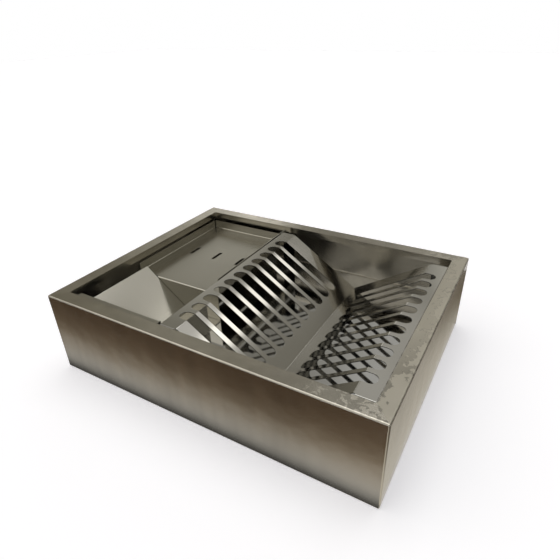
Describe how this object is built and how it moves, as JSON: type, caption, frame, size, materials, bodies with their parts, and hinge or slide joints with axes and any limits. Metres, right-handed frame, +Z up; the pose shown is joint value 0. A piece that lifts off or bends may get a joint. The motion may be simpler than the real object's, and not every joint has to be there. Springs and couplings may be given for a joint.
{
  "type": "dish drainer",
  "caption": "Rectangular stainless steel dish drainer with a lift-out slotted V plate rack and a lift-out insert holding a cup tray and a cutlery well.",
  "frame": {"origin": "under the middle of the case, on the surface that it stands on", "axes": "+X along the case's long side towards the plate rack, +Y from the front panel to the back panel, +Z up"},
  "size_m": [0.45, 0.35, 0.115],
  "materials": {
    "satin_steel": "satin, cloudy grinding marks near the corner welds",
    "bright_steel": "bright rolled",
    "polished_steel": "mirror polished"
  },
  "bodies": {
    "case": {"front_panel": "satin_steel", "back_panel": "satin_steel", "left_panel": "satin_steel", "right_panel": "satin_steel", "floor_pan": "polished_steel"},
    "rack": {"plate_rack": "bright_steel"},
    "insert": {"cup_tray": "bright_steel", "cutlery_chute": "bright_steel", "cutlery_cheek": "bright_steel", "tray_leg": "bright_steel"}
  },
  "joints": [
    {"name": "rack_lift", "type": "slide", "parent": "case", "child": "rack", "axis": [0, 0, 1], "range_m": [0, 0.12]},
    {"name": "insert_lift", "type": "slide", "parent": "case", "child": "insert", "axis": [0, 0, 1], "range_m": [0, 0.12]}
  ]
}
